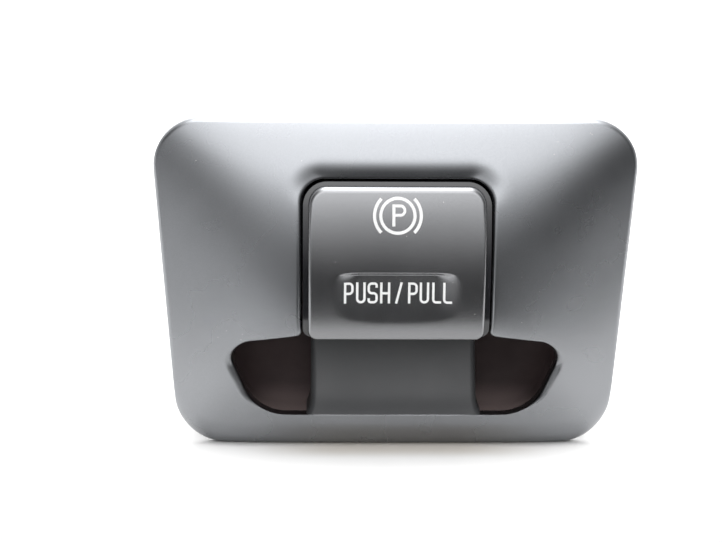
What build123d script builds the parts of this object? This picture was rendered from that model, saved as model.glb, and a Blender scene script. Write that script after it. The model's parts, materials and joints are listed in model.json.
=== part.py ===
from build123d import *
import os
import math

# Parking brake switch, millimetres.
# X to the right seen from the front, Z up, the front faces -Y.
# Origin: centre of the bezel's rear rim, which lies on the panel (y = 0).

# ---------------------------------------------------------------- dimensions
PLATE_TOP, PLATE_BOT = 30.45, -32.25        # upper and lower edge of the bezel
PLATE_HW21 = 45.0                         # half width at z = 21
PLATE_TAPER = 0.0745                      # half width lost per mm downwards
PLATE_R_TOP, PLATE_R_BOT = 8.2, 10.5
SKIN = 2.2                                # bezel wall
RIM_Y = -3.0                              # rear edge of the opening's collar
COLLAR = 1.4                              # collar wall around the opening

WIN_HW, WIN_TOP, WIN_R = 17.35, 20.0, 4.0
POCKET = [(17.35, -9.0, 1.2), (32.3, -11.3, 3.2), (25.9, -25.4, 8.5)]

KNOB_HW, KNOB_TOP, KNOB_BOT = 16.5, 19.2, -9.1
FLANGE_HW, FLANGE_TOP = 17.2, 19.85       # the polished rim around the cap
CAP_HW, CAP_TOP, CAP_BOT = 16.2, 19.1, -9.25
FACE_R, FACE_Y, FACE_Z = 55.0, -12.4, 3.0  # convex face: radius and apex
CAP_T = 1.5
WALL = 1.4

PIVOT_Y, PIVOT_Z = -0.5, 15.0
PIN_R = 1.5
BORE_R = 1.54                             # running bore on the pin

HOUS_HW, HOUS_Z0, HOUS_Z1 = 20.4, 0.3, 25.0
HOUS_WALL = 1.6
HOUS_Y1 = 26.0
COVER_T = 1.8
FLANGE_Y0, FLANGE_Y1 = -1.2, 0.4

GUIDE_Y0, GUIDE_Y1 = 12.0, 15.0
PL_X, PULL_Z, PUSH_Z = 11.0, 20.6, 4.6    # plunger axes
PL_R, PL_HEAD_R = 1.5, 2.2
PL_HEAD_Y, PL_SEAT_Y, PL_END_Y = 7.62, 8.8, 16.6
FOOT_TIP_Y = 7.5
BOARD_Y0, BOARD_Y1 = 20.8, 22.4

SCREW_XZ = [(24.0, 22.0), (-24.0, 22.0), (24.0, -4.0), (-24.0, -4.0)]
COVER_XZ = [(22.4, 21.3), (-22.4, 21.3), (22.4, 4.0), (-22.4, 4.0)]
CLIP_XZ = [(36.0, 12.0), (-36.0, 12.0), (36.0, -14.0), (-36.0, -14.0)]
SYMBOL_Z = 14.2

os.makedirs("parts", exist_ok=True)


# ------------------------------------------------------------------- helpers
def box(x0, x1, y0, y1, z0, z1):
    return Pos((x0 + x1) / 2, (y0 + y1) / 2, (z0 + z1) / 2) * Box(
        x1 - x0, y1 - y0, z1 - z0)


def cyl_y(x, z, r, y0, y1):
    return Pos(x, (y0 + y1) / 2, z) * Rot(90, 0, 0) * Cylinder(r, y1 - y0)


def cyl_x(y, z, r, x0, x1):
    return Pos((x0 + x1) / 2, y, z) * Rot(0, 90, 0) * Cylinder(r, x1 - x0)


def prism(sketch, y0, y1):
    """A sketch drawn in (x, z) swept from y1 forwards to y0."""
    return extrude(Plane.XZ.offset(-y1) * sketch, y1 - y0)


def side(points, x0, x1):
    """A closed (y, z) outline swept along x."""
    return extrude(Plane.YZ.offset(x0) * make_face(Polyline(*points, close=True)),
                   x1 - x0)


def rounded(points):
    """Polygon (x, z, corner radius), each corner with its own radius."""
    sk = make_face(Polyline(*[(p[0], p[1]) for p in points], close=True))
    for x, z, r in points:
        if r:
            v = min(sk.vertices(), key=lambda q: (q.X - x) ** 2 + (q.Y - z) ** 2)
            sk = fillet(v, r)
    return sk


def fuse(items):
    out = items[0]
    for i in items[1:]:
        out = out + i
    return out


def save(shape, name):
    solids = shape.solids() if hasattr(shape, "solids") else [shape]
    if len(solids) == 1:
        shape = solids[0]
    else:
        shape = Compound(children=list(solids))
    shape.label = name
    export_step(shape, f"parts/{name}.step")


def half_width(z):
    return PLATE_HW21 + PLATE_TAPER * (z - 21)


def fade(a, b, v):
    t = min(max((v - a) / (b - a), 0.0), 1.0)
    return t * t * (3 - 2 * t)


def crown(x, z):
    """Height of the bezel's skin in front of the panel: soft hips at the sides
    and top, and up and down the same curve as the knob's face."""
    ds, dt, v = half_width(z) - abs(x), PLATE_TOP - z, z - FACE_Z
    hs = 2.7 + 0.46 * ds - 0.0038 * ds * ds
    ht = 3.0 + 0.85 * dt - 0.010 * dt * dt
    hc = 11.4 - (v * v / 104.0 if v > -13.0 else 1.625 + 0.25 * (-13.0 - v))
    k = 2.0
    h = -k * math.log(math.exp(-hs / k) + math.exp(-ht / k) + math.exp(-hc / k))
    # above the window the skin rolls back towards the opening
    w = min(max(1 - (z - WIN_TOP) / 4.9, 0.0), 1.0)
    return h - 1.7 * w * w * fade(17.4, 14.8, abs(x)) * fade(13.0, 16.0, z)


def skin_surface(drop):
    grid = []
    for j in range(23):
        z = -36.0 + j * 70.0 / 22
        row = []
        for i in range(33):
            x = -50.0 + i * 100.0 / 32
            row.append((x, -(crown(x, z) - drop), z))
        grid.append(row)
    return Face.make_surface_from_array_of_points(grid, tol=0.01)


def behind(surface, depth=40.0):
    """Everything from the surface back to the panel and beyond."""
    return Solid.extrude(surface, Vector(0, depth, 0))


# ------------------------------------------------------------------ outlines
plate = rounded([
    (half_width(PLATE_TOP), PLATE_TOP, PLATE_R_TOP),
    (half_width(PLATE_BOT), PLATE_BOT, PLATE_R_BOT),
    (-half_width(PLATE_BOT), PLATE_BOT, PLATE_R_BOT),
    (-half_width(PLATE_TOP), PLATE_TOP, PLATE_R_TOP)])

opening_pts = [(WIN_HW, WIN_TOP, WIN_R)] + POCKET
opening = rounded(opening_pts + [(-x, z, r) for x, z, r in reversed(opening_pts)])
lower = opening & (Pos(0, -21.5) * Rectangle(90, 40))
collar_out = offset(opening, COLLAR)
cup_out = collar_out & (Pos(0, -20.1) * Rectangle(90, 40))
cup_hole = offset(opening, COLLAR + 0.1) & (Pos(0, -20.1) * Rectangle(90, 40))

knob_outline = rounded([(KNOB_HW, KNOB_TOP, 3.0), (KNOB_HW, KNOB_BOT, 1.8),
                        (-KNOB_HW, KNOB_BOT, 1.8), (-KNOB_HW, KNOB_TOP, 3.0)])
flange_outline = rounded([(FLANGE_HW, FLANGE_TOP, 4.3), (FLANGE_HW, KNOB_BOT, 1.8),
                          (-FLANGE_HW, KNOB_BOT, 1.8), (-FLANGE_HW, FLANGE_TOP, 4.3)])
cap_outline = rounded([(CAP_HW, CAP_TOP, 2.9), (CAP_HW, CAP_BOT, 1.7),
                       (-CAP_HW, CAP_BOT, 1.7), (-CAP_HW, CAP_TOP, 2.9)])

# --------------------------------------------------------------- trim bezel
front = behind(skin_surface(0.0))
inner = behind(skin_surface(SKIN))
shell = prism(plate, -16, 0) & front
edges = [e for e in shell.edges()
         if e.center().Y < -1.5 and e.bounding_box().max.Y < -1.0
         and max(e.bounding_box().size) > 1.0]
for rad in (1.3, 1.1, 0.9, 0.6):
    try:
        shell = fillet(edges, rad)
        print("rim radius", rad)
        break
    except Exception as err:
        print("rim not rounded at", rad)
hollow = prism(offset(plate, -SKIN), -16, 1) & inner
collar = prism(collar_out, -16, RIM_Y) & front
bezel = (shell - hollow) + collar
for x, z in SCREW_XZ:
    bezel += cyl_y(x, z, 2.6, -crown(x, z) + 1.2, RIM_Y)
bezel -= prism(opening, -20, 1)
bezel -= prism(cup_hole, RIM_Y, 1)
for x, z in SCREW_XZ:
    bezel -= cyl_y(x, z, 1.1, -crown(x, z) + 2.0, RIM_Y + 1)
save(bezel, "trim_bezel")

# ------------------------------------------------------------ mounting frame
frame = prism(offset(plate, -SKIN - 0.2), RIM_Y, FLANGE_Y0)
frame &= behind(skin_surface(SKIN + 0.12))
frame -= prism(cup_hole, -10, 5)
frame -= box(-18.95, 18.95, -10, 5, -2, 23.5)
frame -= prism(offset(plate, -9.5) - offset(opening, 5.5)
               - Pos(0, 8) * Rectangle(56, 40), -10, -2.0)
for x, z in SCREW_XZ:
    frame += cyl_y(x, z, 3.2, RIM_Y, FLANGE_Y0)
for x, z in CLIP_XZ:
    s = 1 if x > 0 else -1
    frame += box(x - 1.5, x + 1.5, FLANGE_Y0, 10.5, z - 4, z + 4)
    for zr in (z - 3.6, z + 3.6):
        frame += side([(FLANGE_Y0, zr - 0.4), (7.0, zr - 0.4), (7.0, zr + 0.4),
                       (FLANGE_Y0, zr + 0.4)], min(x - s * 1.5, x - s * 2.9),
                      max(x - s * 1.5, x - s * 2.9))
frame -= box(-18.95, 18.95, -10, 5, -2, 23.5)
for x, z in SCREW_XZ:
    frame -= cyl_y(x, z, 1.3, -10, 5)
frame -= prism(cup_hole, -10, 15)
save(frame, "mounting_frame")

# ---------------------------------------------------------------- gasket
gasket = prism(offset(plate, -SKIN - 0.3) - offset(plate, -SKIN - 2.1),
               FLANGE_Y0, -0.05)
save(gasket, "foam_gasket")

# ------------------------------------------------------------- finger cup
CUP_BACK = 7.5
cup = prism(cup_out, RIM_Y, CUP_BACK + 1.5)
cup -= box(-15.75, 15.75, -10, CUP_BACK, -25.4, -1.5)
for s in (1, -1):
    half = Pos(s * (15.75 + 15), -10) * Rectangle(30, 60)
    pocket = prism(lower & half, RIM_Y - 1, CUP_BACK)
    rear = [e for e in pocket.edges() if abs(e.center().Y - CUP_BACK) < 0.01]
    for rad in (2.8, 1.8, 1.1, 0.6):
        try:
            pocket = fillet(rear, rad)
            print("pocket radius", rad)
            break
        except Exception as err:
            print("pocket not rounded at", rad)
    cup -= pocket
save(cup, "finger_cup")

# ------------------------------------------------------------ centre ramp
RAMP_HW = 15.7
ramp_line = [(-5.15, -25.3), (-3.3, -22.8), (-1.3, -19.0), (0.5, -14.0),
             (1.5, -9.0), (1.9, -1.6)]
with BuildSketch(Plane.YZ) as ramp_sk:
    with BuildLine():
        s1 = Spline(*ramp_line)
        Polyline(ramp_line[-1], (CUP_BACK, -1.6), (CUP_BACK, -25.3), ramp_line[0])
    make_face()
with BuildSketch(Plane.YZ) as ramp_in:
    with BuildLine():
        pts = [(y + 1.6, z + 0.9) for y, z in ramp_line[:-1]]
        pts = [(pts[0][0] + 0.9, -23.9)] + pts[1:] + [(3.4, -3.0)]
        s2 = Spline(*pts)
        Polyline(pts[-1], (CUP_BACK + 1, -3.0), (CUP_BACK + 1, -23.9), pts[0])
    make_face()
ramp = extrude(ramp_sk.sketch, RAMP_HW, both=True)
ramp -= extrude(ramp_in.sketch, RAMP_HW - 1.4, both=True)
save(ramp, "centre_ramp")

# ---------------------------------------------------------- switch housing
IN_HW = HOUS_HW - HOUS_WALL
IN_Z0, IN_Z1 = HOUS_Z0 + HOUS_WALL, HOUS_Z1 - HOUS_WALL
housing = box(-HOUS_HW, HOUS_HW, FLANGE_Y0, HOUS_Y1, HOUS_Z0, HOUS_Z1)
housing += box(-27, 27, FLANGE_Y0, FLANGE_Y1, HOUS_Z0, HOUS_Z1)
for s in (1, -1):
    housing += box(min(s * 19.2, s * 27), max(s * 19.2, s * 27), FLANGE_Y0,
                   FLANGE_Y1, -7.0, HOUS_Z0 + 0.5)
    for z in (2.6, 12.5, 23.0):
        housing += side([(FLANGE_Y1, z - 0.7), (9.0, z - 0.7), (9.0, z + 0.7),
                         (FLANGE_Y1, z + 0.7)], min(s * 20.4, s * 21.6),
                        max(s * 20.4, s * 21.6))
for x, z in COVER_XZ:
    s = 1 if x > 0 else -1
    housing += cyl_y(x, z, 2.4, 17.0, HOUS_Y1)
    housing += box(min(s * 20, x), max(s * 20, x), 17.0, HOUS_Y1, z - 2.4, z + 2.4)
housing -= box(-IN_HW, IN_HW, -5, HOUS_Y1 + 1, IN_Z0, IN_Z1)
for s in (1, -1):
    x0, x1 = sorted((s * 17.1, s * 18.85))
    housing += cyl_x(PIVOT_Y, PIVOT_Z, 2.4, x0, x1)
    housing += box(x0, x1, PIVOT_Y, 6.0, PIVOT_Z - 2.4, PIVOT_Z + 2.4)
    x0, x1 = sorted((s * 15.2, s * 18.9))
    housing += box(x0, x1, GUIDE_Y1, BOARD_Y0, 11.0, 14.2)
    x0, x1 = sorted((s * 16.9, s * 18.86))
    housing -= cyl_x(PIVOT_Y, PIVOT_Z, PIN_R, x0, x1)
    housing -= cyl_y(s * 17.0, 12.6, 0.8, 17.4, BOARD_Y0 + 1)
for x, z in SCREW_XZ:
    housing -= cyl_y(x, z, 1.3, -5, 5)
for x, z in COVER_XZ:
    housing -= cyl_y(x, z, 0.95, 19.0, HOUS_Y1 + 1)
save(housing, "switch_housing")

# --------------------------------------------------------------- rear cover
SH_HW, SH_Z0, SH_Z1, SH_Y1 = 8.5, 4.8, 14.2, 39.5
cover = box(-HOUS_HW, HOUS_HW, HOUS_Y1, HOUS_Y1 + COVER_T, HOUS_Z0, HOUS_Z1)
for x, z in COVER_XZ:
    s = 1 if x > 0 else -1
    cover += cyl_y(x, z, 2.4, HOUS_Y1, HOUS_Y1 + COVER_T)
    cover += box(min(s * 20, x), max(s * 20, x), HOUS_Y1, HOUS_Y1 + COVER_T,
                 z - 2.4, z + 2.4)
lip = box(-IN_HW + 0.1, IN_HW - 0.1, HOUS_Y1 - 1.2, HOUS_Y1, IN_Z0 + 0.1, IN_Z1 - 0.1)
lip -= box(-IN_HW + 1.3, IN_HW - 1.3, 20, 30, IN_Z0 + 1.3, IN_Z1 - 1.3)
cover += lip
shroud = box(-SH_HW, SH_HW, HOUS_Y1 + COVER_T, SH_Y1, SH_Z0, SH_Z1)
shroud = fillet(shroud.edges().filter_by(Axis.Y), 1.2)
cover += shroud
cover += box(-2.4, 2.4, HOUS_Y1 + COVER_T, SH_Y1 - 3, SH_Z1 - 0.5, SH_Z1 + 1.1)
cover -= box(-1.1, 1.1, HOUS_Y1 + COVER_T + 2, SH_Y1 + 1, SH_Z1 - 1.4, SH_Z1 + 0.1)
cover -= box(-7.2, 7.2, HOUS_Y1 - 2, SH_Y1 + 1, 6.1, 12.9)
for x in (-13.5, 13.5):
    for z in (7.0, 12.6, 18.2):
        cover += box(x - 3.0, x + 3.0, HOUS_Y1 + COVER_T, HOUS_Y1 + COVER_T + 0.8,
                     z - 0.6, z + 0.6)
for x, z in COVER_XZ:
    cover -= cyl_y(x, z, 1.15, 20, 40)
save(cover, "rear_cover")

# ------------------------------------------------------------ circuit board
PIN_XZ = [(x, z) for x in (-4.0, 0.0, 4.0) for z in (8.0, 11.0)]
board = box(-18.4, 18.4, BOARD_Y0, BOARD_Y1, 2.2, 23.1)
for x, z in PIN_XZ:
    board -= box(x - 0.32, x + 0.32, 20, 23, z - 0.32, z + 0.32)
for s in (1, -1):
    board -= cyl_y(s * 17.0, 12.6, 0.95, 20, 24)
save(board, "circuit_board")

header = box(-7.1, 7.1, BOARD_Y1, HOUS_Y1 + COVER_T, 6.2, 12.8)
for x, z in PIN_XZ:
    header -= box(x - 0.32, x + 0.32, 20, 40, z - 0.32, z + 0.32)
save(header, "connector_header")

pins = []
for x, z in PIN_XZ:
    p = box(x - 0.32, x + 0.32, 20.2, 34.0, z - 0.32, z + 0.32)
    pins.append(chamfer([e for e in p.edges() if e.center().Y > 33.9], 0.18))
save(Compound(children=pins), "connector_pins")

# switches: a body with a bore for its button
for name, z in (("pull_switches", PULL_Z), ("push_switches", PUSH_Z)):
    bodies = []
    for x in (PL_X, -PL_X):
        b = box(x - 2.5, x + 2.5, 17.4, BOARD_Y0, z - 2.5, z + 2.5)
        b = chamfer([e for e in b.edges() if e.center().Y < 17.5], 0.3)
        b -= cyl_y(x, z, 1.3, 17.0, 20.2)
        bodies.append(b)
    save(Compound(children=bodies), name)

leds = [box(-1.6, 1.6, 19.9, BOARD_Y0, SYMBOL_Z - 1.4, SYMBOL_Z + 1.4)]
for x in (-6.0, 6.0):
    leds.append(box(x - 1.0, x + 1.0, 20.0, BOARD_Y0, 6.2, 7.8))
save(Compound(children=leds), "leds")

guide_rod = cyl_y(0, SYMBOL_Z, 3.0, -3.9, 19.7)
guide_rod = chamfer([e for e in guide_rod.edges() if e.center().Y < -3.8], 0.3)
save(guide_rod, "light_guide")

chip = box(-3.5, 3.5, 19.6, BOARD_Y0, 18.6, 22.6)
for i in range(5):
    x = -2.6 + i * 1.3
    chip += box(x - 0.2, x + 0.2, 20.5, BOARD_Y0, 17.9, 23.0)
save(chip, "controller_chip")

small = []
for x, z in ((-7.5, 11.0), (-7.5, 13.0), (-9.6, 11.0), (7.5, 11.0), (7.5, 13.0),
             (9.6, 13.0), (0.0, 4.0), (3.0, 4.0), (-3.0, 4.0)):
    small.append(box(x - 0.8, x + 0.8, 20.2, BOARD_Y0, z - 0.45, z + 0.45))
for x, z in ((-12.5, 12.0), (12.5, 12.0)):
    small.append(cyl_y(x, z, 1.7, BOARD_Y1, BOARD_Y1 + 2.4))
save(Compound(children=small), "chip_parts")

# ----------------------------------------------------------- plunger guide
guide = box(-18.7, 18.7, GUIDE_Y0, GUIDE_Y1, IN_Z0 + 0.1, IN_Z1 - 0.1)
for z in (PULL_Z, PUSH_Z):
    for x in (PL_X, -PL_X):
        guide -= cyl_y(x, z, BORE_R, 10, 17)
guide -= cyl_y(0, SYMBOL_Z, 3.0, 10, 17)
guide -= box(-7.0, 7.0, 10, 17, 5.2, 8.8)
save(guide, "plunger_guide")

for name, z in (("pull", PULL_Z), ("push", PUSH_Z)):
    pls, stems, springs = [], [], []
    for x in (PL_X, -PL_X):
        p = cyl_y(x, z, PL_R, PL_SEAT_Y - 0.5, PL_END_Y)
        p += cyl_y(x, z, PL_HEAD_R, PL_HEAD_Y, PL_SEAT_Y)
        p = chamfer([e for e in p.edges() if abs(e.center().Y - PL_HEAD_Y) < 0.01], 0.4)
        pls.append(p)
        stems.append(cyl_y(x, z, 1.2, PL_END_Y, 19.0))
        turn = Helix(pitch=0.84, height=2.52, radius=1.93)
        wire = Plane(origin=turn @ 0, z_dir=turn % 0) * Circle(0.24)
        coil = sweep(wire, path=turn, is_frenet=True)
        springs.append(Pos(x, PL_SEAT_Y + 0.3, z) * Rot(-90, 0, 0) * coil)
    save(Compound(children=pls), f"{name}_plungers")
    save(Compound(children=stems), f"{name}_stems")
    save(Compound(children=springs), f"{name}_springs")

# ------------------------------------------------------------------- knob
def face_cyl(r):
    return cyl_x(FACE_Y + FACE_R, FACE_Z, r, -30, 30)


def face_y(z, t=0.0):
    return FACE_Y + FACE_R - math.sqrt((FACE_R - t) ** 2 - (z - FACE_Z) ** 2)


block = prism(cap_outline, -14, 0)
cap = (block & face_cyl(FACE_R)) - face_cyl(FACE_R - CAP_T)
# thumb dish: deepest at its crisp upper edge, running out downwards
DISH_HW, DISH_TOP, DISH_BOT, DISH_D = 11.7, 3.6, -6.2, 0.75
dish_out = rounded([(DISH_HW, DISH_TOP, 1.4), (DISH_HW, -3.0, 2.2), (6.5, -6.6, 5.0),
                    (-6.5, -6.6, 5.0), (-DISH_HW, -3.0, 2.2), (-DISH_HW, DISH_TOP, 1.4)])
ya, yb = face_y(DISH_TOP) + DISH_D, face_y(DISH_BOT) - 0.02
wedge = side([(ya, DISH_TOP), (ya, DISH_TOP + 1), (-15, DISH_TOP + 1),
              (-15, DISH_BOT - 1), (yb, DISH_BOT)], -14, 14)
cap -= prism(dish_out, -15, 0) & wedge

# symbol: a P in a ring between two arcs
IN_D = 0.5
ring = Circle(3.38) - Circle(2.82)
band = Circle(4.52) - Circle(3.95)
wedge_r = make_face(Polyline((0, 0), (9, 9), (9, -9), close=True))
arc_r = band & wedge_r
arc_l = mirror(arc_r, about=Plane.YZ)
letter_p = (Pos(-0.73, 0.06) * Rectangle(0.52, 3.9)
            + Pos(-0.21, 1.75) * Rectangle(1.3, 0.5) + Pos(-0.21, 0.1) * Rectangle(1.3, 0.5)
            + (Pos(0.43, 0.925) * (Circle(1.075) - Circle(0.575))
               & Pos(1.43, 0.925) * Rectangle(2, 3)))
inlay_cut, lens = [], []
for sk in (ring, arc_r, arc_l, letter_p):
    t = prism(Pos(0, SYMBOL_Z) * sk, -15, -8)
    lens.append((t & face_cyl(FACE_R)) - face_cyl(FACE_R - IN_D))
    inlay_cut.append(t - face_cyl(FACE_R - IN_D))
for t in inlay_cut:
    cap -= t
save(Compound(children=[s for l in lens for s in l.solids()]), "symbol_lens")

# legend: stroke letters on the floor of the dish
CAPH, STR = 3.95, 0.43


def strokes(w, parts):
    out = None
    for x0, z0, x1, z1 in parts:
        r = Pos((x0 + x1) / 2 * w, (z0 + z1) / 2 * CAPH) * Rectangle(
            abs(x1 - x0) * w + STR, abs(z1 - z0) * CAPH + STR)
        out = r if out is None else out + r
    return out


W = 1.36
K = 1 - STR / CAPH
GLYPH = {
    "P": [(0, 0, 0, K), (0, K, 1, K), (1, K / 2, 1, K), (0, K / 2, 1, K / 2)],
    "U": [(0, 0, 0, K), (1, 0, 1, K), (0, 0, 1, 0)],
    "S": [(0, K, 1, K), (0, K / 2, 0, K), (0, K / 2, 1, K / 2), (1, 0, 1, K / 2),
          (0, 0, 1, 0)],
    "H": [(0, 0, 0, K), (1, 0, 1, K), (0, K / 2, 1, K / 2)],
    "L": [(0, 0, 0, K), (0, 0, 1, 0)],
}
LAYOUT = [("P", -9.70), ("U", -7.49), ("S", -5.38), ("H", -3.09), ("P", 2.02),
          ("U", 4.14), ("L", 6.42), ("L", 8.42)]
LEG_Z0 = -2.05
slope = math.degrees(math.atan2(yb - ya, DISH_TOP - DISH_BOT))
legend = []
dish_plane = side([(ya, DISH_TOP), (yb, DISH_BOT), (yb + 3, DISH_BOT),
                   (ya + 3, DISH_TOP)], -14, 14)
deep_plane = Pos(0, 0.4, 0) * dish_plane
sketches = []
for ch, x in LAYOUT:
    w = 1.25 if ch == "L" else W
    sketches.append(Pos(x + STR / 2, LEG_Z0 + STR / 2) * strokes(w, GLYPH[ch]))
sketches.append(Pos(0.35, LEG_Z0 + CAPH / 2) * Rot(0, 0, -16) * Rectangle(STR, CAPH))
for sk in sketches:
    t = prism(sk, -15, -9)
    t = (t & dish_plane) - deep_plane
    legend += list(t.solids())
    cap -= t
save(cap, "knob_cap")
save(Compound(children=legend), "legend_inlay")

# knob body: gloss black box, open behind, with a lip for the fingertips
prof = [(-14, KNOB_BOT), (-6.0, KNOB_BOT), (-6.0, -1.0), (-3.2, 2.5), (2.5, 9.5),
        (2.5, KNOB_TOP), (-14, KNOB_TOP)]
body = prism(knob_outline, -14, 4) & side(prof, -20, 20)
body += prism(flange_outline, -14, -4) & side(
    [(-14, KNOB_BOT), (-6.2, KNOB_BOT), (-6.2, 0.5), (-4, 3.0), (-4, 16.6), (-7.7, 17.4),
     (-7.7, FLANGE_TOP), (-14, FLANGE_TOP)], -20, 20)
body &= face_cyl(FACE_R - CAP_T)
core = prism(offset(knob_outline, -WALL), -14, 5) & face_cyl(FACE_R - CAP_T - WALL)
body -= core
for s in (1, -1):
    body += cyl_y(s * 8.2, 6.2, 2.3, -10.0, 2.5)
    body += box(min(s * 8.2 - 0.6, s * 8.2 + 0.6), max(s * 8.2 - 0.6, s * 8.2 + 0.6), -10, -2,
                6.2, 18.6)
body &= face_cyl(FACE_R - CAP_T)
body -= cyl_y(0, SYMBOL_Z, 4.6, -14, -4)
body -= box(-10.8, 10.8, -14, -8.0, -2.8, 2.6)
for s in (1, -1):
    body -= cyl_x(PIVOT_Y, PIVOT_Z, 2.3, min(s * 14, s * 17), max(s * 14, s * 17))
    body -= cyl_y(s * 8.2, 6.2, 0.8, -5.0, 4)
save(body, "knob_body")

shield = cyl_y(0, SYMBOL_Z, 4.6, -9.2, -4.6) - cyl_y(0, SYMBOL_Z, 4.0, -12, 0)
save(shield & face_cyl(FACE_R - CAP_T), "light_shield")

# rocker carrier: plate behind the knob body, cheeks on the pivots, four feet
carrier = box(-15.6, 15.6, 2.5, 4.3, 2.8, 21.9)
carrier -= box(-6.3, 6.3, 0, 8, 9.3, 19.5)
for s in (1, -1):
    x0, x1 = sorted((s * 12.0, s * 13.4))
    carrier += box(x0, x1, -3.4, 2.6, 11.9, 17.85)
    carrier -= cyl_x(PIVOT_Y, PIVOT_Z, 2.3, min(s * 11, s * 16), max(s * 11, s * 16))
    for z in (PULL_Z, PUSH_Z):
        carrier += cyl_y(s * PL_X, z, 1.2, 4.3, FOOT_TIP_Y - 1.2)
        carrier += Pos(s * PL_X, FOOT_TIP_Y - 1.2, z) * Sphere(1.2)
    carrier -= cyl_y(s * 8.2, 6.2, 1.05, 0, 6)
save(carrier, "rocker_carrier")

bushes, pivots, cscr = [], [], []
for s in (1, -1):
    x0, x1 = sorted((s * 12.0, s * 16.45))
    b = cyl_x(PIVOT_Y, PIVOT_Z, 2.3, x0, x1)
    bushes.append(b - cyl_x(PIVOT_Y, PIVOT_Z, BORE_R, x0 - 1, x1 + 1))
    x0, x1 = sorted((s * 12.3, s * 18.8))
    p = cyl_x(PIVOT_Y, PIVOT_Z, PIN_R, x0, x1)
    pivots.append(chamfer(p.edges(), 0.2))
    c = cyl_y(s * 8.2, 6.2, 0.8, -4.5, 4.3) + cyl_y(s * 8.2, 6.2, 1.7, 4.3, 5.5)
    c -= Pos(s * 8.2, 5.5, 6.2) * Box(0.5, 1.0, 2.2)
    c -= Pos(s * 8.2, 5.5, 6.2) * Box(2.2, 1.0, 0.5)
    cscr.append(c)
save(Compound(children=bushes), "pivot_bushes")
save(Compound(children=pivots), "pivot_pins")
save(Compound(children=cscr), "carrier_screws")


# ---------------------------------------------------------------- fasteners
def screw(x, z, r, tip, seat, head_r, head_t):
    c = cyl_y(x, z, r, tip, seat) + cyl_y(x, z, head_r, seat, seat + head_t)
    c = chamfer([e for e in c.edges() if abs(e.center().Y - seat - head_t) < 0.01], 0.25)
    c -= Pos(x, seat + head_t, z) * Box(0.55, 1.2, head_r * 1.2)
    c -= Pos(x, seat + head_t, z) * Box(head_r * 1.2, 1.2, 0.55)
    return c


save(Compound(children=[screw(x, z, 1.1, -5.2, FLANGE_Y1, 2.2, 1.4)
                        for x, z in SCREW_XZ]), "bezel_screws")
save(Compound(children=[screw(x, z, 0.95, 19.6, HOUS_Y1 + COVER_T, 1.9, 1.3)
                        for x, z in COVER_XZ]), "cover_screws")
save(Compound(children=[screw(s * 17.0, 12.6, 0.8, 17.8, BOARD_Y1, 1.3, 0.9)
                        for s in (1, -1)]), "board_screws")

# spring clips: a sheet strip folded over each tower, with an outer barb
clips = []
for x, z in CLIP_XZ:
    s = 1 if x > 0 else -1
    line = [(-1.5, 1.0), (-1.5, 10.5), (1.5, 10.5), (3.1, 4.6), (2.2, 1.6)]
    pts_o = [(-2.0, 1.0), (-2.0, 11.0), (1.85, 11.0), (3.65, 4.6), (2.7, 1.5),
             (2.2, 1.65), (3.1, 4.6), (1.5, 10.5), (-1.5, 10.5), (-1.5, 1.0)]
    sk = make_face(Polyline(*[(x + s * px, py) for px, py in pts_o], close=True))
    clips.append(extrude(Plane.XY.offset(z - 3) * sk, 6))
save(Compound(children=clips), "retaining_clips")

bump = [box(-5, 5, 5.0, 7.5, 20.6, IN_Z1), box(-5, 5, 5.35, 7.6, IN_Z0, 4.4)]
save(Compound(children=bump), "travel_bumpers")
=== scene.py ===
import json
import math
import bpy
import bmesh
import numpy as np
from mathutils import Matrix, Vector

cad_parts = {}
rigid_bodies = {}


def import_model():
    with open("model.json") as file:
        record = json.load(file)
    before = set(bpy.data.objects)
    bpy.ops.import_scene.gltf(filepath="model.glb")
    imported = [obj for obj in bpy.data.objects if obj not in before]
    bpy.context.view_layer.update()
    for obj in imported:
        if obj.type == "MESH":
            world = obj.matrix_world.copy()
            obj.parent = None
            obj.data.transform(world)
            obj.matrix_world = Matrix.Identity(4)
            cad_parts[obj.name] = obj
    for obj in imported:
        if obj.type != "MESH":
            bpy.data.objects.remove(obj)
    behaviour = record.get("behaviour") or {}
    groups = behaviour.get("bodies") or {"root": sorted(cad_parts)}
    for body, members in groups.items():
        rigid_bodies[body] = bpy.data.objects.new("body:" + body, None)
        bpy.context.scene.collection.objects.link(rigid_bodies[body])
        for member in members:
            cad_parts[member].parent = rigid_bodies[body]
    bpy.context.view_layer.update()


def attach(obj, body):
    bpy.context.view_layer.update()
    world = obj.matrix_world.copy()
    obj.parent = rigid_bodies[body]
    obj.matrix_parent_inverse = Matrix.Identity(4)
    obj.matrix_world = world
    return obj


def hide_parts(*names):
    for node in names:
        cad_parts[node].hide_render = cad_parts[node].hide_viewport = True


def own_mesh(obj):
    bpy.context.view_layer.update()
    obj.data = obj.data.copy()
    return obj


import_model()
scene = bpy.context.scene
scene.view_settings.view_transform = "Standard"
scene.view_settings.look = "None"
MM = 0.001

# ------------------------------------------------------------------ camera
AZ, EL, DIST, ROLL = math.radians(-2.6), math.radians(14.0), 0.350, math.radians(0.77)
TARGET = Vector((0, -0.003, 0))
F_PX, W_PX, H_PX = 1870.0, 722, 542
AIM = (395.0, 280.9)                     # where the target lies in the frame


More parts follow.
